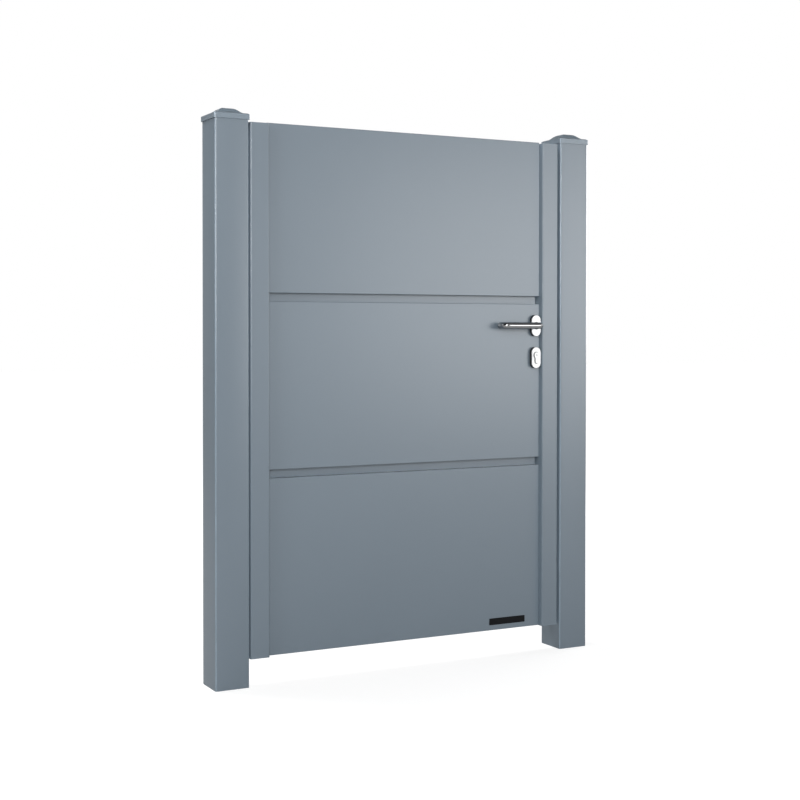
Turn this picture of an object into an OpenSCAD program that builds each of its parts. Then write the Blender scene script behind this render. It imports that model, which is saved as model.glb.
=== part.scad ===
// Pedestrian gate: two square posts with ogee caps and a solid three-panel leaf.
// X runs from the hinge post to the latch post, the front faces -Y, +Z is up.
// The origin is the centre of the hinge post's underside. All sizes are in millimetres.

/* [Posts] */
// Width and depth of each square post
post_w = 100; // [80:1:140]
// How far the post tubes stand above the stiles, under their caps
post_rise = 5; // [5:1:120]
// Wall thickness of the post tubes
post_wall = 3; // [2:0.5:5]
// Outer corner radius of the post tubes
post_corner_r = 5; // [3.5:0.5:8]
// Thickness of the plate that closes the foot of each post
foot_t = 8; // [5:1:15]
// Distance between the anchor holes in a foot plate
anchor_spacing = 60; // [45:1:62]
// Radius of the anchor holes
anchor_r = 5.5; // [3:0.5:8]

/* [Post caps] */
// How far a cap stands out past the faces of its post
cap_overhang = 3; // [2:0.5:10]
// Height of the cap's upright edge
cap_rim_h = 14; // [4:0.5:30]
// Depth of the plug that holds the cap in its post
cap_plug_h = 15; // [8:1:40]
// Rise of the sloping margin between the edge and the crown
cap_slope_h = 3; // [1:0.5:10]
// Width of the sloping margin
cap_slope_w = 7; // [5:0.5:20]
// Height of the S-curved crown
cap_crown_h = 16; // [6:0.5:40]
// Half the width of the crown's flat top
cap_top_half = 10.5; // [4:0.5:20]
// Steepness of the crown's S-curve
cap_curve = 1.9; // [1:0.1:3]

/* [Leaf] */
// Width of the leaf over both stiles
leaf_w = 1022; // [700:1:1300]
// Height of the stiles with their end caps
leaf_h = 1482; // [1250:1:2000]
// Depth of the leaf from front to back
leaf_d = 60; // [46:1:80]
// Clear height under the leaf
ground_gap = 77; // [20:1:150]
// Gap between the hinge post and the leaf
hinge_gap = 5; // [4:0.5:12]
// Gap between the leaf and the latch post
latch_gap = 8; // [5:0.5:15]
// How far the leaf's face lies behind the faces of the posts
face_setback = 2; // [0:0.5:15]

/* [Stiles] */
// Width of each stile
stile_w = 57; // [45:1:80]
// Wall thickness of the stile tubes
stile_wall = 3; // [2:0.5:5]
// Outer corner radius of the stile tubes
stile_corner_r = 4; // [3.5:0.5:8]
// Thickness of the plates that close the ends of the stiles
end_cap_t = 3; // [2:0.5:6]
// Depth of the plugs under those plates
end_plug_h = 12; // [6:1:25]

/* [Panels and rails] */
// Thickness of the three panels
panel_t = 22; // [20:1:30]
// Height of the bottom panel
bottom_panel_h = 496; // [300:1:600]
// Height of the middle panel
middle_panel_h = 470; // [400:1:600]
// Height of the open joint between two panels
joint_h = 24; // [10:1:40]
// How far the top panel stands above the stiles
top_rise = 4; // [0:0.5:10]
// Radius of the panels' long edges
panel_edge_r = 1.5; // [0.5:0.5:4]
// Height of the rails that carry the panels
rail_h = 60; // [50:1:90]
// Wall thickness of the rail tubes
rail_wall = 2; // [1.5:0.5:3]
// Outer corner radius of the rail tubes
rail_corner_r = 2.5; // [2:0.5:4]
// Screws along each row
screws_per_row = 5; // [2:1:9]
// Radius of the panel screws' shanks
screw_r = 2.4; // [1.5:0.1:3]
// Radius of the panel screws' heads
screw_head_r = 5; // [4:0.5:7]
// Height of the panel screws' heads
screw_head_h = 2.2; // [1:0.1:4]
// How far the screws reach into the panels
screw_bite = 14; // [8:1:18]

/* [Hinges] */
// Distance from the leaf's top or bottom to the middle of its hinge
hinge_inset = 200; // [120:5:350]
// Height of each of the three knuckles
knuckle_h = 40; // [25:1:60]
// Outer radius of the knuckles
knuckle_r = 10; // [9:0.5:14]
// Radius of the hinge pins
pin_r = 6; // [4:0.5:7]
// Radius of the head on a hinge pin
pin_head_r = 9; // [7:0.5:10]
// Height of the head on a hinge pin
pin_head_h = 3; // [2:0.5:6]
// Thickness of the webs that carry the knuckles
web_t = 8; // [5:0.5:12]
// Clear space between the knuckles and what they turn past
knuckle_clear = 5; // [3:0.5:10]

/* [Lock] */
// Distance from the top of the middle panel down to the lever's axis
lever_drop = 66; // [55:1:250]
// Distance from the lever's axis down to the lock cylinder's axis
lock_centres = 90; // [85:1:100]
// Thickness of the lock case
case_t = 15; // [13:0.5:16]
// How far the lock case reaches past the two axes, up and down
case_margin = 40; // [36:1:60]
// How far the lock case reaches past the two axes, away from the stile
case_back = 20; // [16:1:40]
// Width of the lock's faceplate
faceplate_w = 22; // [18:1:30]
// Height of the lock's faceplate
faceplate_h = 235; // [220:1:280]
// Corner radius of the lock's faceplate
faceplate_corner_r = 3; // [1:0.5:8]
// Length of the latch bolt and dead bolt from front to back
bolt_l = 32; // [25:1:36]
// Height of the latch bolt and of the dead bolt
bolt_h = 28; // [18:1:32]
// Thickness of the latch bolt and of the dead bolt
bolt_t = 10; // [8:0.5:11]

/* [Handle] */
// Width of the rosette and of the escutcheon
rose_w = 33; // [28:1:34]
// Height of the rosette and of the escutcheon
rose_h = 65; // [58:1:80]
// Thickness of the rosette and of the escutcheon
rose_t = 12; // [6:0.5:14]
// Bevel round the front edge of the rosette and of the escutcheon
rose_bevel = 1; // [0.5:0.1:3]
// How far the middle of the escutcheon lies below the cylinder's axis
escutcheon_drop = 8; // [6:0.5:12]
// Radius of the lever's round bar
bar_r = 10; // [8:0.5:11]
// Distance from the panel's face to the middle of the lever's bar
bar_reach = 38; // [34:0.5:70]
// Length of the lever from its axis to the middle of its returned end
lever_l = 130; // [100:1:160]
// Radius of the bends, at the middle of the bar
bend_r = 12; // [12:0.5:20]
// Gap between the returned end and the panel
tip_clear = 12; // [6:0.5:20]
// Width of the square spindle
spindle_w = 8; // [7:0.5:9]
// How far the spindle reaches into each lever
spindle_bite = 14; // [8:1:16]
// Radius of the round part of the lock cylinder
cylinder_r = 8.5; // [8:0.1:8.8]
// Width of the lock cylinder's leg
cylinder_leg_w = 10; // [9:0.1:11]
// Height of the whole lock cylinder
cylinder_h = 33; // [32:0.5:34]
// How far the lock cylinder stands out of its escutcheons
cylinder_proud = 3; // [0.5:0.1:6]
// Width of the keyway
keyway_w = 2; // [1:0.1:3]
// Depth of the keyway from either end
keyway_depth = 8; // [4:0.5:14]

/* [Label plate] */
// Width of the blank label plate
label_w = 127; // [60:1:200]
// Height of the blank label plate
label_h = 20; // [10:1:40]
// Thickness of the blank label plate
label_t = 1.5; // [1:0.1:3]
// Distance from the latch stile to the plate
label_inset = 51; // [5:1:300]
// Height of the plate above the bottom of the leaf
label_rise = 16; // [5:1:60]

/* [Fits] */
// Gap between the panels and the stiles
panel_fit = 0.5; // [0.2:0.1:1]
// Gap between a pressed or slid-in piece and what holds it
slide_fit = 0.2; // [0.1:0.05:0.5]
// Gap round a pin in its knuckles
pin_fit = 0.05; // [0.02:0.01:0.1]
// Gap between stacked knuckles
knuckle_play = 0.5; // [0.2:0.1:1]
// Gap between the lever's neck and the rosette
neck_fit = 0.4; // [0.2:0.1:1]
// Gap between the latch stile and the rosette and escutcheon
rose_gap = 0.5; // [0.5:0.5:60]
// Gap round the bolts in the strike plate
strike_fit = 1; // [0.5:0.1:2]
// How far the drilled holes go past the tips of the screws
drill_past = 1; // [0.5:0.1:2]

/* [Hidden] */
$fn = 48;
// Steps in the outline of a cap's crown
crown_steps = 12;
// How far a cutting shape reaches past the face that it cuts
cut = 1;

paint = [0.54, 0.59, 0.63];
steel = [0.72, 0.73, 0.75];
chrome = [0.86, 0.87, 0.88];
black = [0.05, 0.05, 0.055];

// Plan
leaf_x0 = post_w / 2 + hinge_gap;
leaf_x1 = leaf_x0 + leaf_w;
latch_post_x = leaf_x1 + latch_gap + post_w / 2;
leaf_y0 = -post_w / 2 + face_setback;
leaf_y1 = leaf_y0 + leaf_d;
mid_y = (leaf_y0 + leaf_y1) / 2;
panel_y0 = mid_y - panel_t / 2;
panel_y1 = mid_y + panel_t / 2;
bay_x0 = leaf_x0 + stile_w;
bay_x1 = leaf_x1 - stile_w;
panel_x0 = bay_x0 + panel_fit;
panel_w = bay_x1 - bay_x0 - 2 * panel_fit;

// Heights
leaf_z0 = ground_gap;
leaf_z1 = ground_gap + leaf_h;
post_h = leaf_z1 + post_rise;
lower_joint_z = leaf_z0 + bottom_panel_h + joint_h / 2;
upper_joint_z = lower_joint_z + middle_panel_h + joint_h;
top_panel_h = leaf_z1 + top_rise - upper_joint_z - joint_h / 2;

// Rails, and the screw rows halfway between the edges of a joint and of its rail
rail_d = leaf_y1 - panel_y1;
rail_row = (joint_h + rail_h) / 4;
screw_pitch = panel_w / screws_per_row;
bottom_row_z = leaf_z0 + rail_h / 2;
top_row_z = leaf_z1 - rail_h / 2;

// Hinges
axis_x = post_w / 2 + knuckle_clear + knuckle_r;
axis_y = leaf_y1 + knuckle_clear + knuckle_r;
upper_hinge_z = leaf_z1 - hinge_inset;
lower_hinge_z = leaf_z0 + hinge_inset;

// Lock
spindle_x = bay_x1 - rose_gap - rose_w / 2;
lever_z = upper_joint_z - joint_h / 2 - lever_drop;
cylinder_z = lever_z - lock_centres;
case_x0 = spindle_x - case_back;
case_x1 = leaf_x1 - stile_wall;
case_z0 = cylinder_z - case_margin;
case_z1 = lever_z + case_margin;
lock_z = (case_z0 + case_z1) / 2;
strike_x = latch_post_x - post_w / 2;
latch_z = lever_z - bolt_h / 2;
dead_bolt_z = cylinder_z - bolt_h / 4;
spindle_hole_r = spindle_w * sqrt(2) / 2 + neck_fit;

// ---- shared shapes ----

module rounded_rect(w, d, r) {
    square([w - 2 * r, d], center = true);
    square([w, d - 2 * r], center = true);
    for (sx = [-1, 1], sy = [-1, 1])
        translate([sx * (w / 2 - r), sy * (d / 2 - r)])
            circle(r = r);
}

// Section of a tube, whose inner corners have a radius of 1 mm or more
module tube_section(w, d, wall, r) {
    difference() {
        rounded_rect(w, d, r);
        rounded_rect(w - 2 * wall, d - 2 * wall, max(r - wall, 1));
    }
}

// A bar along X from x0, whose section lies in Y and Z, centred on y and z
module along_x(x0, y, z, length) {
    translate([x0, y, z])
        rotate([90, 0, 90])
            linear_extrude(length)
                children();
}

// A cylinder along Y between two depths
module round_y(x, z, y0, y1, r) {
    translate([x, y0, z])
        rotate([-90, 0, 0])
            cylinder(h = y1 - y0, r = r);
}

// A block between two corners
module block(low, high) {
    translate(low)
        cube(high - low);
}

// Space of a lock plate set into a tube's wall that starts at x
module plate_space(x, wall, fit) {
    translate([x - fit, mid_y, lock_z])
        rotate([90, 0, 90])
            linear_extrude(wall + 2 * fit)
                rounded_rect(faceplate_w + 2 * fit, faceplate_h + 2 * fit, faceplate_corner_r);
}

// ---- posts ----

module post_tube(x) {
    translate([x, 0, 0])
        linear_extrude(post_h)
            tube_section(post_w, post_w, post_wall, post_corner_r);
}

// Section of what slides into a post tube
module post_core() {
    side = post_w - 2 * post_wall - 2 * slide_fit;
    rounded_rect(side, side, post_corner_r);
}

module post_foot(x) {
    translate([x, 0, 0])
        difference() {
            linear_extrude(foot_t)
                post_core();
            for (sx = [-1, 1], sy = [-1, 1])
                translate([sx * anchor_spacing / 2, sy * anchor_spacing / 2, -cut])
                    cylinder(h = foot_t + 2 * cut, r = anchor_r);
        }
}

function s_curve(t) = pow(t, cap_curve) / (pow(t, cap_curve) + pow(1 - t, cap_curve));

// Half outline of the crown, from its foot to its flat top
function crown_points(half) = [
    for (i = [0:crown_steps])
        let (t = i / crown_steps)
            [half + (cap_top_half - half) * t, cap_rim_h + cap_slope_h + cap_crown_h * s_curve(t)]
];

module cap_outline() {
    half = post_w / 2 + cap_overhang;
    right = concat([[half, 0], [half, cap_rim_h]], crown_points(half - cap_slope_w));
    count = len(right);
    left = [for (i = [count - 1:-1:0]) [-right[i][0], right[i][1]]];
    polygon(concat(right, left));
}

module post_cap(x) {
    side = post_w + 2 * cap_overhang;
    translate([x, 0, post_h]) {
        intersection() {
            rotate([90, 0, 0])
                linear_extrude(side, center = true)
                    cap_outline();
            rotate([90, 0, 90])
                linear_extrude(side, center = true)
                    cap_outline();
            linear_extrude(cap_rim_h + cap_slope_h + cap_crown_h)
                rounded_rect(side, side, post_corner_r);
        }
        translate([0, 0, -cap_plug_h])
            linear_extrude(cap_plug_h)
                post_core();
    }
}

module hinge_post() {
    color(paint)
        post_tube(0);
}

module latch_post() {
    color(paint)
        difference() {
            post_tube(latch_post_x);
            plate_space(strike_x, post_wall, slide_fit);
        }
}

module hinge_post_foot() {
    color(paint)
        post_foot(0);
}

module latch_post_foot() {
    color(paint)
        post_foot(latch_post_x);
}

module hinge_post_cap() {
    color(paint)
        post_cap(0);
}

module latch_post_cap() {
    color(paint)
        post_cap(latch_post_x);
}

// ---- strike ----

module strike_plate() {
    half_w = bolt_t / 2 + strike_fit;
    half_h = bolt_h / 2 + strike_fit;
    color(steel)
        difference() {
            plate_space(strike_x, post_wall, 0);
            for (z = [latch_z, dead_bolt_z])
                block([strike_x - cut, mid_y - half_w, z - half_h],
                      [strike_x + post_wall + cut, mid_y + half_w, z + half_h]);
        }
}

// ---- hinges ----

module knuckle(z) {
    translate([axis_x, axis_y, z - knuckle_h / 2])
        cylinder(h = knuckle_h, r = knuckle_r);
}

module pin_hole(z) {
    translate([axis_x, axis_y, z - 2 * knuckle_h])
        cylinder(h = 4 * knuckle_h, r = pin_r + pin_fit);
}

module post_knuckles(z) {
    color(paint)
        difference() {
            for (side = [-1, 1])
                let (kz = z + side * (knuckle_h + knuckle_play)) {
                    knuckle(kz);
                    block([post_w / 2, axis_y - web_t / 2, kz - knuckle_h / 2],
                          [axis_x, axis_y + web_t / 2, kz + knuckle_h / 2]);
                }
            pin_hole(z);
        }
}

module leaf_knuckle(z) {
    color(paint)
        difference() {
            union() {
                knuckle(z);
                block([axis_x - web_t / 2, leaf_y1, z - knuckle_h / 2],
                      [axis_x + web_t / 2, axis_y, z + knuckle_h / 2]);
            }
            pin_hole(z);
        }
}

module hinge_pin(z) {
    half = 1.5 * knuckle_h + knuckle_play;
    color(steel)
        translate([axis_x, axis_y, z - half]) {
            cylinder(h = 2 * half, r = pin_r);
            translate([0, 0, 2 * half])
                cylinder(h = pin_head_h, r = pin_head_r);
        }
}

module upper_post_knuckles() { post_knuckles(upper_hinge_z); }
module lower_post_knuckles() { post_knuckles(lower_hinge_z); }
module upper_leaf_knuckle() { leaf_knuckle(upper_hinge_z); }
module lower_leaf_knuckle() { leaf_knuckle(lower_hinge_z); }
module upper_hinge_pin() { hinge_pin(upper_hinge_z); }
module lower_hinge_pin() { hinge_pin(lower_hinge_z); }

// ---- leaf frame ----

module stile_tube(x0) {
    translate([x0 + stile_w / 2, mid_y, leaf_z0 + end_cap_t])
        linear_extrude(leaf_h - 2 * end_cap_t)
            tube_section(stile_w, leaf_d, stile_wall, stile_corner_r);
}

module hinge_stile() {
    color(paint)
        stile_tube(leaf_x0);
}

module latch_stile() {
    color(paint)
        difference() {
            stile_tube(bay_x1);
            case_space(slide_fit);
            plate_space(case_x1, stile_wall, slide_fit);
        }
}

// End cap of a stile: side is 1 at the top and -1 at the bottom
module stile_cap(x0, side) {
    z = side > 0 ? leaf_z1 : leaf_z0;
    inner = 2 * (stile_wall + slide_fit);
    color(paint)
        translate([x0 + stile_w / 2, mid_y, z])
            mirror([0, 0, side > 0 ? 1 : 0]) {
                linear_extrude(end_cap_t)
                    rounded_rect(stile_w, leaf_d, stile_corner_r);
                linear_extrude(end_cap_t + end_plug_h)
                    rounded_rect(stile_w - inner, leaf_d - inner, stile_corner_r);
            }
}

module hinge_stile_top_cap() { stile_cap(leaf_x0, 1); }
module hinge_stile_bottom_cap() { stile_cap(leaf_x0, -1); }
module latch_stile_top_cap() { stile_cap(bay_x1, 1); }
module latch_stile_bottom_cap() { stile_cap(bay_x1, -1); }

module screw_row(z, y0, y1, r) {
    for (i = [0:screws_per_row - 1])
        round_y(panel_x0 + (i + 0.5) * screw_pitch, z, y0, y1, r);
}

module rail(z, rows) {
    color(paint)
        difference() {
            along_x(bay_x0, leaf_y1 - rail_d / 2, z, bay_x1 - bay_x0)
                tube_section(rail_d, rail_h, rail_wall, rail_corner_r);
            for (row = rows)
                screw_row(row, panel_y1 - cut, leaf_y1 + cut, screw_r + slide_fit);
        }
}

module bottom_rail() { rail(bottom_row_z, [bottom_row_z]); }
module lower_joint_rail() { rail(lower_joint_z, [lower_joint_z - rail_row, lower_joint_z + rail_row]); }
module upper_joint_rail() { rail(upper_joint_z, [upper_joint_z - rail_row, upper_joint_z + rail_row]); }
module top_rail() { rail(top_row_z, [top_row_z]); }

// ---- panels ----

module panel(z0, height, rows) {
    difference() {
        along_x(panel_x0, mid_y, z0 + height / 2, panel_w)
            rounded_rect(panel_t, height, panel_edge_r);
        for (row = rows)
            screw_row(row, panel_y1 - screw_bite - drill_past, panel_y1 + cut, screw_r + slide_fit);
    }
}

module panel_bottom() {
    color(paint)
        panel(leaf_z0, bottom_panel_h, [bottom_row_z, lower_joint_z - rail_row]);
}

module panel_middle() {
    rows = [lower_joint_z + rail_row, upper_joint_z - rail_row];
    color(paint)
        difference() {
            panel(lower_joint_z + joint_h / 2, middle_panel_h, rows);
            case_space(slide_fit);
            round_y(spindle_x, lever_z, panel_y0 - cut, panel_y1 + cut, spindle_hole_r);
            translate([0, mid_y, 0])
                cylinder_profile(panel_t + 2 * cut, slide_fit);
        }
}

module panel_top() {
    color(paint)
        panel(upper_joint_z + joint_h / 2, top_panel_h, [upper_joint_z + rail_row, top_row_z]);
}

module panel_screws() {
    rows = [bottom_row_z, lower_joint_z - rail_row, lower_joint_z + rail_row,
            upper_joint_z - rail_row, upper_joint_z + rail_row, top_row_z];
    color(steel)
        for (row = rows) {
            screw_row(row, panel_y1 - screw_bite, leaf_y1, screw_r);
            screw_row(row, leaf_y1, leaf_y1 + screw_head_h, screw_head_r);
        }
}

module label_plate() {
    color(black)
        translate([bay_x1 - label_inset - label_w, panel_y0 - label_t, leaf_z0 + label_rise])
            cube([label_w, label_t, label_h]);
}

// ---- lock ----

module case_space(fit) {
    block([case_x0 - fit, mid_y - case_t / 2 - fit, case_z0 - fit],
          [case_x1, mid_y + case_t / 2 + fit, case_z1 + fit]);
}

module bolt_space(z, fit) {
    block([leaf_x1 - bolt_l - fit, mid_y - bolt_t / 2 - fit, z - bolt_h / 2 - fit],
          [leaf_x1 + fit, mid_y + bolt_t / 2 + fit, z + bolt_h / 2 + fit]);
}

// Bar of the lock cylinder's keyhole-shaped section, centred on Y = 0
module cylinder_profile(length, fit) {
    leg_r = cylinder_leg_w / 2;
    translate([spindle_x, 0, cylinder_z])
        rotate([90, 0, 0])
            linear_extrude(length, center = true) {
                circle(r = cylinder_r + fit);
                translate([0, cylinder_r - cylinder_h + leg_r])
                    circle(r = leg_r + fit);
                translate([-leg_r - fit, cylinder_r - cylinder_h + leg_r])
                    square([cylinder_leg_w + 2 * fit, cylinder_h - cylinder_r - leg_r]);
            }
}

module lock_case() {
    color(steel)
        difference() {
            case_space(0);
            bolt_space(latch_z, slide_fit);
            bolt_space(dead_bolt_z, slide_fit);
            round_y(spindle_x, lever_z, mid_y - case_t, mid_y + case_t, spindle_hole_r);
            translate([0, mid_y, 0])
                cylinder_profile(case_t + 2 * cut, slide_fit);
        }
}

module lock_faceplate() {
    color(steel)
        difference() {
            plate_space(case_x1, stile_wall, 0);
            bolt_space(latch_z, slide_fit);
            bolt_space(dead_bolt_z, slide_fit);
        }
}

module latch_bolt() {
    color(steel)
        bolt_space(latch_z, 0);
}

module dead_bolt() {
    color(steel)
        bolt_space(dead_bolt_z, 0);
}

module lock_cylinder() {
    length = panel_t + 2 * (rose_t + cylinder_proud);
    color(steel)
        translate([0, mid_y, 0])
            difference() {
                cylinder_profile(length, 0);
                for (side = [-1, 1])
                    translate([spindle_x, side * length / 2, cylinder_z])
                        cube([keyway_w, 2 * keyway_depth, cylinder_r], center = true);
            }
}

// ---- handle furniture: side is -1 on the front and 1 on the back ----

// Round-ended plate on the panel with a bevelled edge, centred on the spindle's X
module rose_plate(z, side) {
    r = rose_w / 2;
    span = rose_h - rose_w;
    top_r = r - rose_bevel;
    flat_t = rose_t - rose_bevel;
    translate([spindle_x, mid_y + side * panel_t / 2, z])
        rotate([side > 0 ? -90 : 90, 0, 0]) {
            for (end = [-1, 1])
                translate([0, end * span / 2, 0]) {
                    cylinder(h = flat_t, r = r);
                    translate([0, 0, flat_t])
                        cylinder(h = rose_bevel, r1 = r, r2 = top_r);
                }
            rotate([90, 0, 0])
                linear_extrude(span, center = true)
                    polygon([[-r, 0], [r, 0], [r, flat_t], [top_r, rose_t], [-top_r, rose_t], [-r, flat_t]]);
        }
}

module rosette(side) {
    color(chrome)
        difference() {
            rose_plate(lever_z, side);
            round_y(spindle_x, lever_z, mid_y - leaf_d, mid_y + leaf_d, bar_r + neck_fit);
        }
}

module escutcheon(side) {
    color(chrome)
        difference() {
            rose_plate(cylinder_z - escutcheon_drop, side);
            translate([0, mid_y, 0])
                cylinder_profile(2 * leaf_d, slide_fit);
        }
}

// Quarter bend of the bar in the XY plane, centred on the bend's own centre
module bend(start) {
    rotate([0, 0, start])
        rotate_extrude(angle = 90)
            translate([bend_r, 0])
                circle(r = bar_r);
}

module bar_y(x, y0, y1) {
    translate([x, y0, 0])
        rotate([-90, 0, 0])
            cylinder(h = y1 - y0, r = bar_r);
}

// Round-bar lever seen from above, with the panel's face on Y = 0 and the bar at -Y
module lever() {
    socket = spindle_w + 2 * slide_fit;
    difference() {
        union() {
            bar_y(0, -bar_reach + bend_r, -neck_fit);
            translate([-bend_r, -bar_reach + bend_r, 0])
                bend(270);
            translate([-lever_l + bend_r, -bar_reach, 0])
                rotate([0, 90, 0])
                    cylinder(h = lever_l - 2 * bend_r, r = bar_r);
            translate([-lever_l + bend_r, -bar_reach + bend_r, 0])
                bend(180);
            bar_y(-lever_l, -bar_reach + bend_r, -tip_clear);
        }
        translate([-socket / 2, -spindle_bite - neck_fit - slide_fit, -socket / 2])
            cube([socket, spindle_bite + slide_fit + cut, socket]);
    }
}

module spindle() {
    length = panel_t + 2 * (neck_fit + spindle_bite);
    color(steel)
        translate([spindle_x - spindle_w / 2, mid_y - length / 2, lever_z - spindle_w / 2])
            cube([spindle_w, length, spindle_w]);
}

module lever_front() {
    color(chrome)
        translate([spindle_x, panel_y0, lever_z])
            lever();
}

module lever_back() {
    color(chrome)
        translate([spindle_x, panel_y1, lever_z])
            mirror([0, 1, 0])
                lever();
}

module rosette_front() { rosette(-1); }
module rosette_back() { rosette(1); }
module escutcheon_front() { escutcheon(-1); }
module escutcheon_back() { escutcheon(1); }

hinge_post();
latch_post();
hinge_post_foot();
latch_post_foot();
hinge_post_cap();
latch_post_cap();
strike_plate();
upper_post_knuckles();
lower_post_knuckles();
upper_hinge_pin();
lower_hinge_pin();
hinge_stile();
latch_stile();
hinge_stile_top_cap();
hinge_stile_bottom_cap();
latch_stile_top_cap();
latch_stile_bottom_cap();
bottom_rail();
lower_joint_rail();
upper_joint_rail();
top_rail();
panel_bottom();
panel_middle();
panel_top();
panel_screws();
upper_leaf_knuckle();
lower_leaf_knuckle();
lock_case();
lock_faceplate();
latch_bolt();
dead_bolt();
rosette_front();
rosette_back();
escutcheon_front();
escutcheon_back();
lock_cylinder();
label_plate();
spindle();
lever_front();
lever_back();
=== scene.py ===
import math
from collections import namedtuple

import bmesh
import bpy
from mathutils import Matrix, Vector


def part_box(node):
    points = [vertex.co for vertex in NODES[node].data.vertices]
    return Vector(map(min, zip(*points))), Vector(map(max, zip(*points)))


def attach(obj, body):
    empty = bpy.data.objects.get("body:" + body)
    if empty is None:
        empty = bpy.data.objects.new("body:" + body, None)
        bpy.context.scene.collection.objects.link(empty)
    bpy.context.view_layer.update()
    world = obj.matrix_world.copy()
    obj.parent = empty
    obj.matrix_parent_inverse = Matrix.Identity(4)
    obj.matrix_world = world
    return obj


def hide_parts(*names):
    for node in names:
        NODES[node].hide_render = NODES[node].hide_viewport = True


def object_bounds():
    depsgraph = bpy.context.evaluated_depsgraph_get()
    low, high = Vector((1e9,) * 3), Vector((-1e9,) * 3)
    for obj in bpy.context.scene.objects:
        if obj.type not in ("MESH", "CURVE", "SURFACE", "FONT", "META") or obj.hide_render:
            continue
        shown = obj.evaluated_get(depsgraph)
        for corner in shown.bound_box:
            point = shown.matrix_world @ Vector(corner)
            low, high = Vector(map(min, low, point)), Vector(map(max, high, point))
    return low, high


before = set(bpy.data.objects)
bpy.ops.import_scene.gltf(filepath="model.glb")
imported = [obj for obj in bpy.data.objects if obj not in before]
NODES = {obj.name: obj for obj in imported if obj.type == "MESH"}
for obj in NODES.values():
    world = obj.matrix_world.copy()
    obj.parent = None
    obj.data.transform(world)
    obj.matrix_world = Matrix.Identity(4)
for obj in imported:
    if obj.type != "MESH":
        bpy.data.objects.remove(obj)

CAD_LOW, CAD_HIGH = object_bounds()
MM = 0.001

# ---------------------------------------------------------------- camera
# In metres and degrees, with the lens and the sensor in millimetres.
CAMERA_PLACE = (-1.3938, -3.5544, 0.9812)
CAMERA_TURN = 26.582
CAMERA_TILT = -0.900
CAMERA_LENS = 61.88
CAMERA_SENSOR = 36.0
CAMERA_SHIFT = (0.0625, -0.0578)
CAMERA_REACH = 200.0

# ---------------------------------------------------------------- light
WHITE = 1.0
AMBIENT = 0.11
# The room that gloss mirrors, by height and side on a unit sphere: HORIZON up to HORIZON_TOP and CEILING
# from CEILING_FROM upwards. To the left of LEFT_WALL_FROM it is LEFT_WALL times as bright, and from there
# that grows to 1 at LEFT_WALL_TO.
HORIZON = 0.9
HORIZON_TOP = 0.05
CEILING = 0.17
CEILING_FROM = 0.40
LEFT_WALL = 0.36
LEFT_WALL_FROM = -0.30
LEFT_WALL_TO = 0.15
# The lamps: their turn to the right of the front, rise, width, height and radiance.
Lamp = namedtuple("Lamp", "turn rise width height radiance")
LAMPS = {
    "front": Lamp(-29.0, 9.5, 1.1, 1.1, 17.4),
    "front_top": Lamp(-12.0, 28.0, 1.5, 1.5, 4.9),
    "left": Lamp(-73.0, 24.0, 1.5, 3.4, 4.1),
    "key": Lamp(41.0, 5.2, 2.8, 1.65, 3.3),
    "right": Lamp(100.0, 12.0, 1.5, 2.0, 5.0),
    "rear_right": Lamp(118.0, 12.0, 1.8, 1.8, 5.0),
    "rear_top": Lamp(-142.0, 60.0, 2.0, 2.0, 13.0),
    "over_caps": Lamp(-142.0, 45.0, 3.6, 3.6, 2.2),
}
LAMP_DISTANCE = 4.5
LAMP_AIM_HEIGHT = 0.9

POSTS = ("hinge_post", "latch_post")
CAPS = ("hinge_post_cap", "latch_post_cap")
LATCH_STILE = ("latch_stile", "latch_stile_top_cap", "latch_stile_bottom_cap")
# The nodes whose shadow each lamp leaves out, so that the narrow gaps beside the stiles don't go black.
SHINES_PAST = {
    "key": LATCH_STILE,
    "front": LATCH_STILE,
    "front_top": LATCH_STILE,
    "left": (*LATCH_STILE, "hinge_post"),
}
# The nodes that a lamp leaves unlit: the levers, whose ends stay dark, and the caps, whose slopes would
# mirror the strong lamp behind. The caps have a wide weak lamp of their own instead.
LEAVES_UNLIT = {"left": ("lever_front", "lever_back"), "rear_top": CAPS}
LIGHTS_ONLY = {"over_caps": CAPS}

# ---------------------------------------------------------------- floor
# The floor's own light, as the camera sees it and as gloss mirrors it, goes from its first value to its
# second over the distances from the middle in FLOOR_NEAR_FAR.
FLOOR_HALF = 30.0
FLOOR_DROP = 0.5 * MM
FLOOR_COLOUR = (0.34, 0.34, 0.34)
FLOOR_NEAR_FAR = (1.2, 4.0)
FLOOR_SEEN = (0.77, 1.0)
FLOOR_MIRRORED = (0.18, 0.29)

# ---------------------------------------------------------------- pieces
SMOOTH_ANGLE = 30.0
CORNER_STEPS = 6
SMALLEST_CORNER = 0.15 * MM
LABEL_CORNER = 2.0 * MM
LABEL_CHAMFER = 0.4 * MM
LABEL_RIM = 1.5 * MM
LABEL_DROP = 0.3 * MM

# A screw: its head's radius and height, the reach to its socket's flats, its length, its shank's radius.
Screw = namedtuple("Screw", "radius height socket length shank")
PANEL_SCREW_HEAD = 2.2 * MM
PANEL_SCREW_SOCKET = 1.5 * MM
PANEL_SCREW_SHANK = 2.4 * MM
PLATE_SCREW = Screw(4.2 * MM, 1.6 * MM, 1.25 * MM, 12.0 * MM, 1.8 * MM)
PLATE_SCREW_END = 12.0 * MM
PLATE_SCREW_PROUD = 0.3 * MM
SCREW_SIDES = 36
# Its pointed end, as a share of the shank's radius and a length.
SCREW_POINT = 0.55
SCREW_POINT_LENGTH = 1.2 * MM
# Its dome from the rim inwards, as shares of the head's radius and height, measured down from the top.
SCREW_DOME = ((1.0, 1.0), (1.0, 0.82), (0.96, 0.62), (0.84, 0.32), (0.66, 0.10), (0.50, 0.0))
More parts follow.
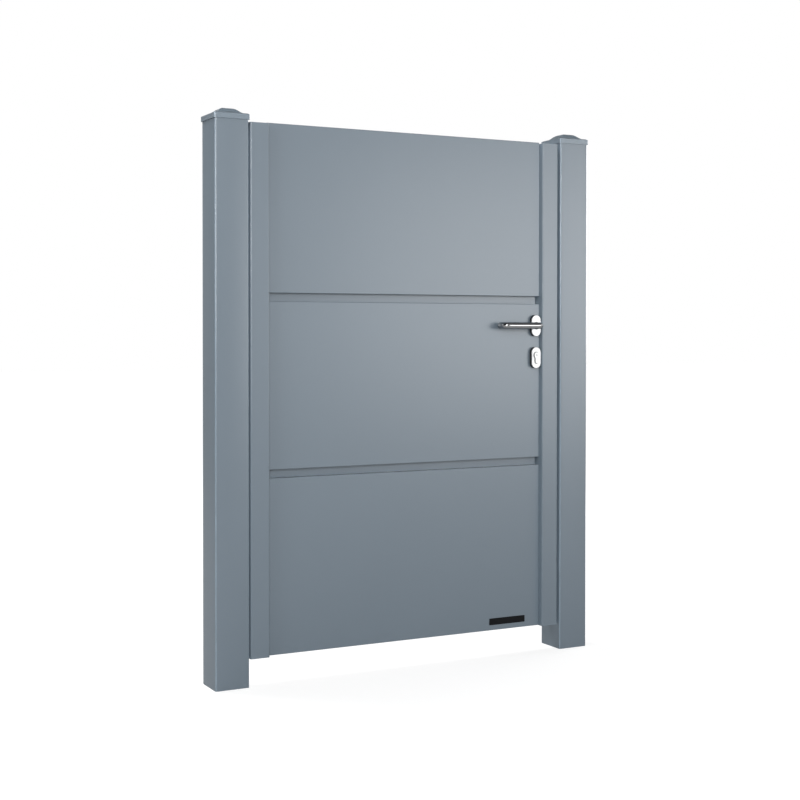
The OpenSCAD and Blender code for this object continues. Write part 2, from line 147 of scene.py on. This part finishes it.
# Its socket, as shares of the reach to the flats and of the head's height: the mouth is wider, the flats
# end at the floor, and the floor goes down to the tip. The flats start at SOCKET_MOUTH_DEPTH.
SOCKET_MOUTH = 1.25
SOCKET_MOUTH_DEPTH = 0.12 * MM
SOCKET_FLOOR = 0.70
SOCKET_TIP = (0.35, 0.80)

BOLT_EDGE = 0.6 * MM
BOLT_EDGE_STEPS = 3
NOSE_LENGTH = 13.0 * MM
NOSE_TIP = 2.0 * MM
WELD = 0.001 * MM

# ---------------------------------------------------------------- materials
# Linear colours.
PAINT = (0.160, 0.205, 0.248)
CHROME = (0.385, 0.389, 0.393)
ZINC = (0.500, 0.505, 0.510)
# Dark nylon under the covers, dark enough to also serve as painted shade and a painted dark reflection.
NYLON_SHADE = (0.012, 0.013, 0.014)
BLACK = (0.0035, 0.0040, 0.0050)

# The noise texture's usual range.
NOISE_RANGE = (0.3, 0.7)
FLECK_RANGE = (0.35, 0.65)
MARK_RANGE = (0.48, 0.68)
# Noise scales along x, y and z that draw it out into lines.
BRUSH_LINES = (40.0, 2400.0, 2400.0)
SCRATCHES = (2600.0, 2600.0, 90.0)
# Where wear starts and where it is full: on an edge, the cosine between its own and its rounded normal.
# Where the painted highlight on a tube's round corner starts and where it is full: the greater distance
# inside its two sides, as a share of the corner's radius.
EDGE_WEAR = (0.995, 0.80)
CORNER_HIGHLIGHT = (0.75, 0.35)
EDGE_SAMPLES = 4
# How much of that wear the powder coat's edges show, as wear and as a painted edge highlight.
COAT_EDGE_WEAR_AND_HIGHLIGHT = 0.70

# The radius of the corners of the posts and their caps, and how far the posts' flat sides are softly
# crowned, as the lean of their normals for each metre from the middle.
UPRIGHT_CORNER = 5.0 * MM
POST_LEAN = 1.6

# The covers of the rosettes and escutcheons: their depth, and the gap round the lever's neck and the
# cylinder. Below that depth and in the gap the dark nylon base shows, and its dark colour also paints the
# shade in the gap and a dark reflection on the covers' sides.
COVERS = ("rosette_front", "rosette_back", "escutcheon_front", "escutcheon_back")
COVER_DEPTH = 2.6 * MM
COVER_GAP = 1.8 * MM
NECK_RADIUS = 10.0 * MM
CYLINDER_LEG = 10.0 * MM


# ================================================================ node helpers
def feed(tree, value, socket):
    """Links the socket to the value if that is a socket too, and otherwise sets the value on it."""
    if isinstance(value, bpy.types.NodeSocket):
        tree.links.new(value, socket)
    elif socket.type == "RGBA":
        socket.default_value = (*value, 1.0)
    else:
        socket.default_value = value


def add_node(tree, kind, values):
    """A new node, with values for its inputs by their names or numbers."""
    made = tree.nodes.new(kind)
    for key, value in values.items():
        feed(tree, value, made.inputs[key])
    return made


def new_material(name):
    """A material without any nodes, and its node tree."""
    material = bpy.data.materials.new(name)
    material.use_nodes = True
    material.node_tree.nodes.clear()
    return material, material.node_tree


def principled(tree, values):
    """Ends the tree in one Principled shader, with values for its sockets."""
    shader = add_node(tree, "ShaderNodeBsdfPrincipled", values)
    add_node(tree, "ShaderNodeOutputMaterial", {"Surface": shader.outputs["BSDF"]})


def place(tree, stretch=(1.0, 1.0, 1.0)):
    """Object coordinates, which are metres in the row frame, stretched along each axis."""
    source = tree.nodes.new("ShaderNodeTexCoord")
    values = {"Vector": source.outputs["Object"], "Scale": stretch}
    return add_node(tree, "ShaderNodeMapping", values).outputs["Vector"]


def axes(tree, vector):
    """The X, Y and Z of a vector."""
    return add_node(tree, "ShaderNodeSeparateXYZ", {"Vector": vector}).outputs


def surface_normal(tree):
    """The surface's own normal."""
    return tree.nodes.new("ShaderNodeNewGeometry").outputs["Normal"]


def noise(tree, vector, scale, detail=2.0, rough=0.5):
    """Noise of about NOISE_RANGE."""
    values = {"Vector": vector, "Scale": scale, "Detail": detail, "Roughness": rough}
    return add_node(tree, "ShaderNodeTexNoise", values).outputs["Fac"]


def cells(tree, vector, scale):
    """A random grey for each cell."""
    colours = add_node(tree, "ShaderNodeTexVoronoi", {"Vector": vector, "Scale": scale})
    split = add_node(tree, "ShaderNodeSeparateColor", {"Color": colours.outputs["Color"]})
    return split.outputs["Red"]


def remap(tree, value, old, new=(0.0, 1.0)):
    """Maps old[0]..old[1] to new[0]..new[1], held at both ends."""
    values = {"Value": value, "From Min": old[0], "From Max": old[1], "To Min": new[0], "To Max": new[1]}
    return add_node(tree, "ShaderNodeMapRange", values).outputs["Result"]


def spread(tree, value, low=0.0, high=1.0):
    """Noise, spread from its usual range to low..high."""
    return remap(tree, value, NOISE_RANGE, (low, high))


def worked_out(tree, kind, operation, values):
    """The outputs of a math node of the kind."""
    made = tree.nodes.new(kind)
    made.operation = operation
    for value, socket in zip(values, made.inputs):
        feed(tree, value, socket)
    return made.outputs


def math_node(tree, operation, *values):
    """A number worked out from one or two others."""
    return worked_out(tree, "ShaderNodeMath", operation, values)["Value"]


def vector_node(tree, operation, *values):
    """What is worked out from one or two vectors: a vector, or a number for DOT_PRODUCT and LENGTH."""
    outputs = worked_out(tree, "ShaderNodeVectorMath", operation, values)
    return outputs["Value" if operation in ("DOT_PRODUCT", "LENGTH") else "Vector"]


def product(tree, first, *others):
    """All the values multiplied."""
    for other in others:
        first = math_node(tree, "MULTIPLY", first, other)
    return first


def shifted(tree, value, where, by):
    """The value, with by times where added."""
    return math_node(tree, "ADD", value, product(tree, where, by))


def blend(tree, factor, first, second, kind="Color"):
    """Mixes two of a kind, Color, Float or Vector. A colour may be three linear numbers."""
    made = tree.nodes.new("ShaderNodeMix")
    made.data_type = "RGBA" if kind == "Color" else kind.upper()
    sockets = {socket.identifier: socket for socket in made.inputs}
    feed(tree, factor, sockets["Factor_Float"])
    feed(tree, first, sockets["A_" + kind])
    feed(tree, second, sockets["B_" + kind])
    return next(socket for socket in made.outputs if socket.identifier == "Result_" + kind)


def tinted(tree, colour, where, share, tint):
    """The colour, mixed with up to the share of a tint where the value where is 1."""
    return blend(tree, product(tree, where, share), colour, tint)


def times(values, amount):
    """Each of the values times the amount."""
    return tuple(value * amount for value in values)


def bump(tree, height, depth, strength, under=None):
    """A bump of the given depth in metres, over another normal if one is given."""
    values = {"Height": height, "Distance": depth, "Strength": strength}
    if under is not None:
        values["Normal"] = under
    return add_node(tree, "ShaderNodeBump", values).outputs["Normal"]


def edges(tree, radius):
    """1 at the edges of the surface, to a radius in metres, and 0 away from them."""
    rounded = add_node(tree, "ShaderNodeBevel", {"Radius": radius})
    rounded.samples = EDGE_SAMPLES
    turn = vector_node(tree, "DOT_PRODUCT", rounded.outputs["Normal"], surface_normal(tree))
    return remap(tree, turn, EDGE_WEAR)


def crowned(tree, centre, lean):
    """The normal of a tube with softly crowned sides: it leans by lean for each metre from centre."""
    out = vector_node(tree, "SUBTRACT", place(tree), centre)
    out = vector_node(tree, "MULTIPLY", out, (lean, lean, 0.0))
    return vector_node(tree, "NORMALIZE", vector_node(tree, "ADD", surface_normal(tree), out))


def corners(tree, low, high):
    """1 along the rounded upright corners of the box low..high, and 0 on its flat sides."""
    here = axes(tree, place(tree))
    depths = []
    for axis, first, last in (("X", low.x, high.x), ("Y", low.y, high.y)):
        off = math_node(tree, "SUBTRACT", here[axis], (first + last) / 2)
        off = math_node(tree, "ABSOLUTE", off)
        depths.append(math_node(tree, "SUBTRACT", (last - first) / 2, off))
    deepest = math_node(tree, "MAXIMUM", *depths)
    return remap(tree, deepest, times(CORNER_HIGHLIGHT, UPRIGHT_CORNER))


def upright_slots(tree, slots):
    """1 inside any of the round-ended slots: each has its x, lowest and highest centre, and radius."""
    here = axes(tree, place(tree))
    inside = 0.0
    for x, lowest, highest, radius in slots:
        held = add_node(tree, "ShaderNodeClamp", {"Value": here["Z"], "Min": lowest, "Max": highest})
        off = add_node(tree, "ShaderNodeCombineXYZ", {
            "X": math_node(tree, "SUBTRACT", here["X"], x),
            "Z": math_node(tree, "SUBTRACT", here["Z"], held.outputs["Result"]),
        })
        reach = vector_node(tree, "LENGTH", off.outputs["Vector"])
        inside = math_node(tree, "MAXIMUM", inside, math_node(tree, "LESS_THAN", reach, radius))
    return inside


# ================================================================ materials
def powder_coat(name, upright=None, lean=0.0):
    """Satin blue-grey powder coat: orange peel, flecks, faint clouds, lighter and shinier where worn.

    upright is the low and high corner of a post or its cap, whose round corners get a painted highlight.
    Its normals lean by lean, as crowned takes it."""
    material, tree = new_material(name)
    here = place(tree)
    clouds = spread(tree, noise(tree, here, scale=2.6))
    flecks = remap(tree, noise(tree, here, scale=1500.0), FLECK_RANGE)
    peel = noise(tree, here, scale=380.0)
    worn = edges(tree, radius=1.2 * MM)
    worn = product(tree, worn, noise(tree, here, scale=140.0, detail=3.0), COAT_EDGE_WEAR_AND_HIGHLIGHT)
    # The posts' and caps' round corners get a painted highlight: lighter colour and lower roughness.
    if upright is not None:
        highlight_patches = spread(tree, noise(tree, here, scale=30.0, detail=3.0), low=0.75, high=1.25)
        worn = math_node(tree, "MAXIMUM", worn, product(tree, corners(tree, *upright), highlight_patches))
    colour = blend(tree, clouds, times(PAINT, 0.985), times(PAINT, 1.015))
    colour = tinted(tree, colour, flecks, share=0.22, tint=times(PAINT, 1.20))
    # Lighter colour: a painted highlight on the round corners, and on the edges both wear and a painted
    # highlight.
    colour = tinted(tree, colour, worn, share=0.80, tint=times(PAINT, 1.90))
    rough = spread(tree, noise(tree, here, scale=260.0), low=0.315, high=0.355)
    normal = crowned(tree, (upright[0] + upright[1]) / 2, lean) if lean else None
    normal = bump(tree, peel, depth=0.05 * MM, strength=0.80, under=normal)
    normal = bump(tree, flecks, depth=0.01 * MM, strength=0.30, under=normal)
    principled(tree, {
        "Base Color": colour,
        "Roughness": shifted(tree, rough, worn, by=-0.12),
        "Normal": normal,
        "Specular IOR Level": 1.0,
    })
    return material


def steel_finish(tree, smooth, dull):
    """Colour, roughness and normal of steel with brush lines, finger marks and brighter edges."""
    here = place(tree)
    lines = noise(tree, place(tree, BRUSH_LINES), scale=1.0, detail=3.0, rough=0.6)
    marks = remap(tree, noise(tree, here, scale=75.0, detail=3.0), MARK_RANGE)
    worn = edges(tree, radius=0.5 * MM)
    colour = blend(tree, spread(tree, lines), times(CHROME, 0.95), times(CHROME, 1.05))
    colour = tinted(tree, colour, worn, share=0.4, tint=times(CHROME, 1.20))
    rough = shifted(tree, spread(tree, lines, smooth, dull), marks, by=0.05)
    return colour, rough, bump(tree, lines, depth=0.004 * MM, strength=0.25)


def polished_steel():
    """Polished steel, which the levers show. The rosettes and escutcheons have cover_steel instead."""
    material, tree = new_material("polished_steel")
    colour, rough, normal = steel_finish(tree, smooth=0.07, dull=0.12)
    principled(tree, {"Base Color": colour, "Roughness": rough, "Normal": normal, "Metallic": 1.0})
    return material


def cover_steel(middle, steel_from, slots):
    """A satin steel cover on a dark nylon base, which shows below the cover's rim and in the slots, where
    its dark colour also paints shade in the slots and a dark reflection on the sides.

    The cover starts steel_from metres from the plane y = middle. slots is as upright_slots takes it."""
    material, tree = new_material("satin_steel_on_nylon_shade")
    here = place(tree)
    across = math_node(tree, "ABSOLUTE", math_node(tree, "SUBTRACT", axes(tree, here)["Y"], middle))
    cover = math_node(tree, "GREATER_THAN", across, steel_from)
    cover = math_node(tree, "SUBTRACT", cover, upright_slots(tree, slots))
    cover = math_node(tree, "MAXIMUM", cover, 0.0)
    grain = noise(tree, here, scale=2200.0)
    # The dark nylon, which also paints the shade in the slots and the dark reflection on the covers' sides.
    nylon = blend(tree, grain, times(NYLON_SHADE, 0.8), times(NYLON_SHADE, 1.4))
    matt = spread(tree, grain, low=0.42, high=0.58)
    grained = bump(tree, grain, depth=0.02 * MM, strength=0.4)
    steel, rough, brushed = steel_finish(tree, smooth=0.24, dull=0.32)
    principled(tree, {
        "Base Color": blend(tree, cover, nylon, steel),
        "Roughness": blend(tree, cover, matt, rough, "Float"),
        "Normal": blend(tree, cover, grained, brushed, "Vector"),
        "Metallic": cover,
    })
    return material


def zinc_steel():
    """Zinc-plated steel, for the lock, hinge pins and screws: crystals, clouds, scratches, rubbed edges."""
    material, tree = new_material("zinc_steel")
    here = place(tree)
    crystals = cells(tree, here, scale=320.0)
    clouds = spread(tree, noise(tree, here, scale=45.0, detail=3.0))
    scratches = noise(tree, place(tree, SCRATCHES), scale=1.0, detail=3.0, rough=0.6)
    worn = edges(tree, radius=0.6 * MM)
    colour = blend(tree, clouds, times(ZINC, 0.86), times(ZINC, 1.04))
    colour = tinted(tree, colour, crystals, share=0.35, tint=times(ZINC, 1.20))
    colour = tinted(tree, colour, worn, share=0.5, tint=times(ZINC, 1.40))
    rough = spread(tree, scratches, low=0.26, high=0.40)
    normal = bump(tree, crystals, depth=0.004 * MM, strength=0.3)
    principled(tree, {
        "Base Color": colour,
        "Roughness": shifted(tree, rough, crystals, by=0.06),
        "Normal": bump(tree, scratches, depth=0.006 * MM, strength=0.3, under=normal),
        "Metallic": 1.0,
    })
    return material


def black_plate():
    """Black anodised plate: fine matt grain, faint clouds, edges rubbed a little lighter."""
    material, tree = new_material("black_anodised")
    here = place(tree)
    grain = noise(tree, here, scale=2600.0)
    clouds = spread(tree, noise(tree, here, scale=55.0, detail=3.0))
    worn = edges(tree, radius=0.4 * MM)
    colour = blend(tree, clouds, times(BLACK, 0.8), times(BLACK, 1.5))
    principled(tree, {
        "Base Color": tinted(tree, colour, worn, share=0.25, tint=times(BLACK, 8.0)),
        "Roughness": spread(tree, grain, low=0.38, high=0.50),
        "Normal": bump(tree, grain, depth=0.01 * MM, strength=0.35),
        "Specular IOR Level": 0.15,
    })
    return material


def set_material(part, material):
    """Gives every slot of a part the material."""
    for slot in part.material_slots:
        slot.material = material


def cover_slots():
    """The covers' openings, as upright_slots takes them: the neck's, and the lock cylinder's two."""
    low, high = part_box("spindle")
    neck = (low + high) / 2
    low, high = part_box("lock_cylinder")
    barrel = (high.x - low.x) / 2
    leg = CYLINDER_LEG / 2
    return (
        (neck.x, neck.z, neck.z, NECK_RADIUS + COVER_GAP),
        (neck.x, high.z - barrel, high.z - barrel, barrel + COVER_GAP),
        (neck.x, low.z + leg, high.z - barrel, leg + COVER_GAP),
    )


def dress():
    """Gives every CAD node the material of its slot, and the posts, caps and covers their own."""
    by_slot = {
        "powder_coat": powder_coat("powder_coat_satin"),
        "polished_chrome": polished_steel(),
        "plain_steel": zinc_steel(),
        "black_plate": black_plate(),
    }
    for part in NODES.values():
        for slot in part.material_slots:
            slot.material = by_slot[slot.material.name.split(".")[0]]
    for name in POSTS + CAPS:
        lean = POST_LEAN if name in POSTS else 0.0
        set_material(NODES[name], powder_coat("powder_coat_" + name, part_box(name), lean))
    low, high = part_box("panel_middle")
    middle = (low.y + high.y) / 2
    front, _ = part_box("rosette_front")
    cover = cover_steel(middle, middle - front.y - COVER_DEPTH, cover_slots())
    for name in COVERS:
        set_material(NODES[name], cover)


# ================================================================ pieces
def ring_mesh(name, solids):
    """A mesh of solids, each a list of rings of as many points, with quads between them and closed ends."""
    verts = []
    faces = []
    for rings in solids:
        start = len(verts)
        count = len(rings[0])
        for ring in rings:
            verts.extend(ring)
        last = len(verts) - count
        for base in range(start, last, count):
            for i in range(count):
                j = (i + 1) % count
                faces.append((base + i, base + j, base + count + j, base + count + i))
        faces.append(tuple(reversed(range(start, start + count))))
        faces.append(tuple(range(last, last + count)))
    mesh = bpy.data.meshes.new(name)
    mesh.from_pydata(verts, [], faces)
    return mesh


def add_piece(name, mesh, body, material):
    """An object of the mesh that rides on the body. Its normals point out and its edges stay crisp."""
    made = bmesh.new()
    made.from_mesh(mesh)
    bmesh.ops.recalc_face_normals(made, faces=made.faces)
    made.to_mesh(mesh)
    made.free()
    mesh.shade_smooth()
    mesh.set_sharp_from_angle(angle=math.radians(SMOOTH_ANGLE))
    mesh.materials.append(material)
    piece = bpy.data.objects.new(name, mesh)
    bpy.context.collection.objects.link(piece)
    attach(piece, body)
    return piece


def rounded_outline(low, high, inset, radius):
    """Points round a rectangle in x and z with rounded corners, inset from low..high."""
    reach = max(radius - inset, SMALLEST_CORNER)
    left, right = low.x + inset + reach, high.x - inset - reach
    bottom, top = low.z + inset + reach, high.z - inset - reach
    points = []
    for quarter, (x, z) in enumerate(((right, top), (left, top), (left, bottom), (right, bottom))):
        for step in range(CORNER_STEPS + 1):
            angle = math.radians(90 * (quarter + step / CORNER_STEPS))
            points.append((x + reach * math.cos(angle), z + reach * math.sin(angle)))
    return points


def label_plate(material):
    """A blank plate with rounded corners, a chamfered rim and a field that lies a little lower."""
    low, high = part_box("label_plate")
    profile = (
        (high.y, 0.0),
        (low.y + LABEL_CHAMFER, 0.0),
        (low.y, LABEL_CHAMFER),
        (low.y, LABEL_RIM),
        (low.y + LABEL_DROP, LABEL_RIM + LABEL_DROP),
    )
    rings = [
        [(x, y, z) for x, z in rounded_outline(low, high, inset, LABEL_CORNER)]
        for y, inset in profile
    ]
    piece = add_piece("blank_plate", ring_mesh("blank_plate", [rings]), "leaf", material)
    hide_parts("label_plate")


def screw_ring(radius, hexagon):
    """Points round a circle of the radius, or round a hexagon with the radius to its flats."""
    sixth = math.tau / 6
    points = []
    for i in range(SCREW_SIDES):
        angle = math.tau * i / SCREW_SIDES
        reach = radius
        if hexagon:
            reach /= math.cos(angle % sixth - sixth / 2)
        points.append((reach * math.cos(angle), reach * math.sin(angle)))
    return points


def screw_rings(screw, head, out):
    """The rings of a domed screw with a hexagon socket, by radius and depth below the head's top.

    head is the middle of that top, and out is the way it faces, along x or y."""
    turned = (
        (screw.shank * SCREW_POINT, screw.length),
        (screw.shank, screw.length - SCREW_POINT_LENGTH),
        (screw.shank, screw.height),
        *((screw.radius * wide, screw.height * deep) for wide, deep in SCREW_DOME),
        (screw.socket * SOCKET_MOUTH, 0.0),
    )
    milled = (
        (screw.socket, SOCKET_MOUTH_DEPTH),
        (screw.socket, screw.height * SOCKET_FLOOR),
        (screw.socket * SOCKET_TIP[0], screw.height * SOCKET_TIP[1]),
    )
    across = Vector((abs(out.y), abs(out.x), 0.0))
    up = Vector((0.0, 0.0, 1.0))
    return [
        [head + across * a + up * b - out * depth for a, b in screw_ring(radius, hexagon)]
        for profile, hexagon in ((turned, False), (milled, True))
        for radius, depth in profile
    ]


def loose_parts(node):
    """The lowest and highest corner of each separate part of a CAD node's mesh."""
    made = bmesh.new()
    made.from_mesh(NODES[node].data)
    bmesh.ops.remove_doubles(made, verts=made.verts, dist=WELD)
    left = set(made.verts)
    boxes = []
    for start in made.verts:
        if start not in left:
            continue
        left.discard(start)
        part, queue = [], [start]
        while queue:
            vert = queue.pop()
            part.append(vert.co.copy())
            for edge in vert.link_edges:
                other = edge.other_vert(vert)
                if other in left:
                    left.discard(other)
                    queue.append(other)
        boxes.append(tuple(Vector(pick(co[i] for co in part) for i in range(3)) for pick in (min, max)))
    made.free()
    return boxes


def panel_screws(material):
    """The screws that hold the panels to the rails, with domed heads at the back and hexagon sockets."""
    solids = []
    for low, high in loose_parts("panel_screws"):
        middle = (low + high) / 2
        head = Vector((middle.x, high.y, middle.z))
        radius = (high.x - low.x) / 2
        screw = Screw(radius, PANEL_SCREW_HEAD, PANEL_SCREW_SOCKET, high.y - low.y, PANEL_SCREW_SHANK)
        solids.append(screw_rings(screw, head, Vector((0.0, 1.0, 0.0))))
    mesh = ring_mesh("socket_screws", solids)
    piece = add_piece("socket_screws", mesh, "leaf", material)
    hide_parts("panel_screws")


def plate_screws(node, body, side, material):
    """Two screws near the ends of a lock plate, whose side is 1 if it faces +x and -1 if it faces -x."""
    low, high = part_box(node)
    middle = (low + high) / 2
    top = (high.x if side > 0 else low.x) + side * PLATE_SCREW_PROUD
    out = Vector((side, 0.0, 0.0))
    solids = [
        screw_rings(PLATE_SCREW, Vector((top, middle.y, height)), out)
        for height in (low.z + PLATE_SCREW_END, high.z - PLATE_SCREW_END)
    ]
    name = node + "_screws"
    add_piece(name, ring_mesh(name, solids), body, material)


def bolt(name, outline, low, high, material):
    """A bolt with softened edges, with an outline in x and y from low.z to high.z."""
    rings = [[(x, y, z) for x, y in outline] for z in (low.z, high.z)]
    mesh = ring_mesh(name, [rings])
    made = bmesh.new()
    made.from_mesh(mesh)
    bmesh.ops.recalc_face_normals(made, faces=made.faces)
    geom = made.edges[:]
    bmesh.ops.bevel(
        made, geom=geom, offset=BOLT_EDGE, segments=BOLT_EDGE_STEPS, profile=0.5, affect="EDGES",
    )
    made.to_mesh(mesh)
    made.free()
    return add_piece(name, mesh, "leaf", material)


def bolts(material):
    """The latch bolt with its slanted nose, and the dead bolt."""
    low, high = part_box("latch_bolt")
    slant = ((high.x - NOSE_LENGTH, low.y), (high.x, high.y - NOSE_TIP))
    nose = ((low.x, low.y), *slant, (high.x, high.y), (low.x, high.y))
    piece = bolt("latch_bolt_nose", nose, low, high, material)
    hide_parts("latch_bolt")
    low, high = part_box("dead_bolt")
    block = ((low.x, low.y), (high.x, low.y), (high.x, high.y), (low.x, high.y))
    piece = bolt("dead_bolt_block", block, low, high, material)
    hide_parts("dead_bolt")


def make_pieces():
    """The pieces that replace CAD nodes or add to them, in the materials of the nodes beside them."""
    steel = NODES["lock_faceplate"].material_slots[0].material
    label_plate(NODES["label_plate"].material_slots[0].material)
    panel_screws(steel)
    plate_screws("lock_faceplate", "leaf", 1, steel)
    plate_screws("strike_plate", "root", -1, steel)
    bolts(steel)


# ================================================================ studio
def background(tree, strength):
    """A white background of the strength."""
    values = {"Color": (1.0, 1.0, 1.0), "Strength": strength}
    return add_node(tree, "ShaderNodeBackground", values).outputs["Background"]


def choose(tree, factor, first, second):
    """The first shader where factor is 0 and the second where it is 1."""
    return add_node(tree, "ShaderNodeMixShader", {"Fac": factor, 1: first, 2: second}).outputs["Shader"]


def light_world():
    """White to the camera, the room to gloss, and a low even light to all else."""
    world = bpy.data.worlds.new("studio")
    bpy.context.scene.world = world
    world.use_nodes = True
    tree = world.node_tree
    tree.nodes.clear()
    path = tree.nodes.new("ShaderNodeLightPath").outputs
    source = tree.nodes.new("ShaderNodeTexCoord")
    away = axes(tree, source.outputs["Generated"])
    room = remap(tree, away["Z"], (HORIZON_TOP, CEILING_FROM), (HORIZON, CEILING))
    left = remap(tree, away["X"], (LEFT_WALL_FROM, LEFT_WALL_TO), (LEFT_WALL, 1.0))
    mirrored = background(tree, product(tree, room, left))
    lit = choose(tree, path["Is Glossy Ray"], background(tree, AMBIENT), mirrored)
    seen = math_node(tree, "MAXIMUM", path["Is Camera Ray"], path["Is Transmission Ray"])
    surface = choose(tree, seen, lit, background(tree, WHITE))
    add_node(tree, "ShaderNodeOutputWorld", {"Surface": surface})


def softbox(name, lamp, aim):
    """A softbox on a sphere round the object, facing it, with the power that gives its radiance.

    The camera doesn't see it."""
    data = bpy.data.lights.new(name, "AREA")
    data.shape = "RECTANGLE"
    data.size, data.size_y = lamp.width, lamp.height
    data.energy = math.pi * lamp.width * lamp.height * lamp.radiance
    turn, rise = math.radians(lamp.turn), math.radians(lamp.rise)
    away = Vector((math.sin(turn) * math.cos(rise), -math.cos(turn) * math.cos(rise), math.sin(rise)))
    box = bpy.data.objects.new(name, data)
    bpy.context.collection.objects.link(box)
    box.location = aim + away * LAMP_DISTANCE
    box.rotation_euler = (-away).to_track_quat("-Z", "Y").to_euler()
    box.visible_camera = False
    return box


def linked(name, nodes, state):
    """A collection that keeps the named nodes out of a lamp's light or shadow, or keeps it to them."""
    group = bpy.data.collections.new(name)
    for node in nodes:
        group.objects.link(NODES[node])
    for item in group.collection_objects:
        item.light_linking.link_state = state
    return group


def light_room():
    """The softboxes round the object, and which nodes they light and shade."""
    middle = (CAD_LOW + CAD_HIGH) / 2
    aim = Vector((middle.x, 0.0, LAMP_AIM_HEIGHT))
    boxes = {name: softbox(name, lamp, aim) for name, lamp in LAMPS.items()}
    for name, nodes in SHINES_PAST.items():
        boxes[name].light_linking.blocker_collection = linked("past_" + name, nodes, "EXCLUDE")
    for name, nodes in LEAVES_UNLIT.items():
        boxes[name].light_linking.receiver_collection = linked("unlit_" + name, nodes, "EXCLUDE")
    for name, nodes in LIGHTS_ONLY.items():
        boxes[name].light_linking.receiver_collection = linked("only_" + name, nodes, "INCLUDE")


def floor_material():
    """Pale floor that goes to the white of the background away from the object and keeps its shadow."""
    material, tree = new_material("pale_floor")
    path = tree.nodes.new("ShaderNodeLightPath").outputs
    matt = add_node(tree, "ShaderNodeBsdfDiffuse", {"Color": FLOOR_COLOUR})
    reach = vector_node(tree, "LENGTH", place(tree))
    mirrored = math_node(tree, "MAXIMUM", path["Is Glossy Ray"], path["Is Transmission Ray"])
    glow = product(tree, path["Is Camera Ray"], remap(tree, reach, FLOOR_NEAR_FAR, FLOOR_SEEN))
    glow = shifted(tree, glow, mirrored, by=remap(tree, reach, FLOOR_NEAR_FAR, FLOOR_MIRRORED))
    light = add_node(tree, "ShaderNodeEmission", {"Strength": glow})
    both = add_node(tree, "ShaderNodeAddShader", {0: matt.outputs["BSDF"], 1: light.outputs["Emission"]})
    add_node(tree, "ShaderNodeOutputMaterial", {"Surface": both.outputs["Shader"]})
    return material


def make_floor():
    """A square floor just below the object's feet."""
    half = FLOOR_HALF
    square = [(-half, -half, 0), (half, -half, 0), (half, half, 0), (-half, half, 0)]
    mesh = bpy.data.meshes.new("floor")
    mesh.from_pydata(square, [], [(0, 1, 2, 3)])
    mesh.materials.append(floor_material())
    plane = bpy.data.objects.new("floor", mesh)
    bpy.context.collection.objects.link(plane)
    plane.location = ((CAD_LOW.x + CAD_HIGH.x) / 2, 0.0, CAD_LOW.z - FLOOR_DROP)


def make_camera():
    """The photograph's camera."""
    data = bpy.data.cameras.new("camera")
    data.lens = CAMERA_LENS
    data.sensor_width = CAMERA_SENSOR
    data.shift_x, data.shift_y = CAMERA_SHIFT
    data.clip_end = CAMERA_REACH
    camera = bpy.data.objects.new("camera", data)
    bpy.context.collection.objects.link(camera)
    camera.location = CAMERA_PLACE
    camera.rotation_euler = (math.radians(90 + CAMERA_TILT), 0.0, -math.radians(CAMERA_TURN))
    bpy.context.scene.camera = camera


dress()
make_pieces()
light_world()
light_room()
make_floor()
make_camera()
bpy.context.scene.view_settings.view_transform = "Standard"
